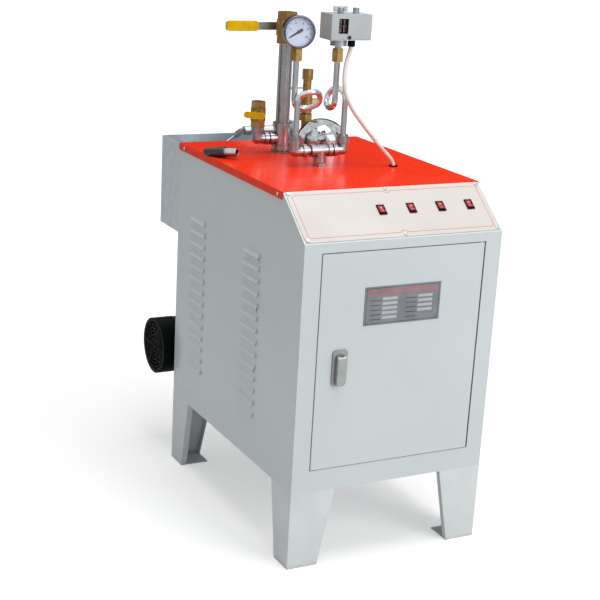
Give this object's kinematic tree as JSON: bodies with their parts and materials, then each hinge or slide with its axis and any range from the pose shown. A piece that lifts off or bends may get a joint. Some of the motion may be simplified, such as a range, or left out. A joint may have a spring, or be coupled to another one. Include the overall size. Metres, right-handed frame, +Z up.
{
  "type": "electric steam boiler",
  "caption": "Electric steam boiler: steel cabinet on folded legs, door, louvres, red cover, pressure drum, gauge, controller, valves, water tank and feed pump.",
  "frame": {"origin": "middle of the bounding box at the floor", "axes": "+Z up, -Y towards the door and the console, +X to the right as seen from the front"},
  "size_m": [0.424, 0.6963, 0.9703],
  "materials": {
    "painted_white": "gloss enamel",
    "painted_red": "high gloss enamel",
    "zinc_sheet": "galvanised",
    "steel": "satin",
    "chrome": "polished",
    "brass": "cast and turned",
    "dark_iron": "painted matt",
    "drum_steel": "mill scale",
    "white_plastic": "satin",
    "grey_plastic": "satin",
    "black_plastic": "satin",
    "red_plastic": "gloss",
    "yellow_plastic": "dipped vinyl",
    "rating_metal": "brushed",
    "dial_white": "matt",
    "clear_glass": "clear",
    "needle_black": "painted"
  },
  "bodies": {
    "boiler": {"front_frame": "painted_white", "left_side_panel": "painted_white", "right_side_panel": "painted_white", "rear_panel": "painted_white", "base_pan": "zinc_sheet", "corner_legs": "painted_white", "top_cover": "painted_red", "console_panel": "painted_white", "panel_screws": "steel", "switch_housings": "black_plastic", "water_tank": "zinc_sheet", "float_valve": "steel", "pump_shelf": "painted_white", "pump_head": "dark_iron", "motor_housing": "dark_iron", "fan_cover": "black_plastic", "feed_piping": "brass", "boiler_drum": "drum_steel", "heater_bundle": "steel", "inspection_dome": "chrome", "electrics_plate": "zinc_sheet", "contactors": "black_plastic", "front_manifold": "chrome", "gauge_siphon": "chrome", "control_siphon": "chrome", "siphon_unions": "brass", "gauge_case": "steel", "gauge_dial": "dial_white", "gauge_glass": "clear_glass", "control_base": "zinc_sheet", "control_housing": "grey_plastic", "cable_glands": "black_plastic", "control_cable": "white_plastic", "rear_manifold": "chrome", "steam_valve_body": "brass", "side_valve_body": "brass", "safety_valve_body": "brass", "hose_connector": "black_plastic", "drain_valve_body": "brass"},
    "door": {"door_panel": "painted_white", "lock_housing": "steel", "rating_plate": "rating_metal"},
    "lock_spindle": {"lock_spindle": "steel"},
    "lock_handle": {"lock_handle": "steel"},
    "rocker_1": {"switch_rocker_1": "red_plastic"},
    "rocker_2": {"switch_rocker_2": "red_plastic"},
    "rocker_3": {"switch_rocker_3": "red_plastic"},
    "rocker_4": {"switch_rocker_4": "red_plastic"},
    "steam_handle": {"steam_valve_stem": "steel", "steam_lever": "steel", "lever_grip": "yellow_plastic"},
    "side_handle": {"side_valve_handle": "yellow_plastic"},
    "needle": {"gauge_needle": "needle_black"},
    "safety_lever": {"safety_valve_lever": "steel"},
    "range_screw": {"range_screw": "grey_plastic"},
    "range_pointer": {"range_pointer": "red_plastic"},
    "diff_screw": {"diff_screw": "steel"},
    "pump_rotor": {"pump_rotor": "steel"},
    "float_arm": {"float_arm": "steel"},
    "drain_handle": {"drain_valve_lever": "steel"}
  },
  "joints": [
    {"name": "door_swing", "type": "hinge", "parent": "boiler", "child": "door", "pos_m": [0.1663, -0.33235, 0.3875], "axis": [0, 0, 1], "range_deg": [0, 110]},
    {"name": "lock_turn", "type": "hinge", "parent": "door", "child": "lock_spindle", "pos_m": [-0.113, -0.33585, 0.3975], "axis": [0, -1, 0], "range_deg": [0, 90]},
    {"name": "handle_lift", "type": "hinge", "parent": "lock_spindle", "child": "lock_handle", "pos_m": [-0.113, -0.34415, 0.3975], "axis": [-1, 0, 0], "range_deg": [0, 35]},
    {"name": "rocker_1_press", "type": "hinge", "parent": "boiler", "child": "rocker_1", "pos_m": [-0.0195, -0.28546, 0.64264], "axis": [1, 0, 0], "range_deg": [0, 16]},
    {"name": "rocker_2_press", "type": "hinge", "parent": "boiler", "child": "rocker_2", "pos_m": [0.0415, -0.28546, 0.64264], "axis": [1, 0, 0], "range_deg": [0, 16]},
    {"name": "rocker_3_press", "type": "hinge", "parent": "boiler", "child": "rocker_3", "pos_m": [0.1025, -0.28546, 0.64264], "axis": [1, 0, 0], "range_deg": [0, 16]},
    {"name": "rocker_4_press", "type": "hinge", "parent": "boiler", "child": "rocker_4", "pos_m": [0.1635, -0.28546, 0.64264], "axis": [1, 0, 0], "range_deg": [0, 16]},
    {"name": "steam_lever_turn", "type": "hinge", "parent": "boiler", "child": "steam_handle", "pos_m": [-0.036, 0.08415, 0.9165], "axis": [0, 1, 0], "range_deg": [0, 90]},
    {"name": "side_valve_turn", "type": "hinge", "parent": "boiler", "child": "side_handle", "pos_m": [-0.089, 0.08415, 0.7523], "axis": [-0.7071, -0.7071, 0], "range_deg": [0, 90]},
    {"name": "needle_turn", "type": "hinge", "parent": "boiler", "child": "needle", "pos_m": [-0.074, -0.03585, 0.9233], "axis": [0.2419, 0.9703, 0], "range_deg": [0, 246]},
    {"name": "safety_lift", "type": "hinge", "parent": "boiler", "child": "safety_lever", "pos_m": [0.059, 0.16215, 0.7888], "axis": [0, 1, 0], "range_deg": [0, 25]},
    {"name": "range_turn", "type": "hinge", "parent": "boiler", "child": "range_screw", "pos_m": [0.004, -0.04985, 0.957], "axis": [0, 0, 1], "range_deg": [-1440, 1440]},
    {"name": "pointer_slide", "type": "slide", "parent": "boiler", "child": "range_pointer", "axis": [0, 0, 1], "range_m": [-0.008, 0.008]},
    {"name": "diff_turn", "type": "hinge", "parent": "boiler", "child": "diff_screw", "pos_m": [0.037, -0.04985, 0.957], "axis": [0, 0, 1], "range_deg": [0, 1080]},
    {"name": "pump_spin", "type": "hinge", "parent": "boiler", "child": "pump_rotor", "pos_m": [-0.133, 0.28915, 0.229], "axis": [1, 0, 0], "continuous": true},
    {"name": "float_swing", "type": "hinge", "parent": "boiler", "child": "float_arm", "pos_m": [-0.0357, 0.27015, 0.686], "axis": [0, 1, 0], "range_deg": [-22, 7]},
    {"name": "drain_turn", "type": "hinge", "parent": "boiler", "child": "drain_handle", "pos_m": [0.007, 0.03915, 0.096], "axis": [0, -1, 0], "range_deg": [0, 90]}
  ],
  "couplings": [
    {"joint": "range_turn", "follows": "pointer_slide", "rad_per_m": 3141.6}
  ]
}
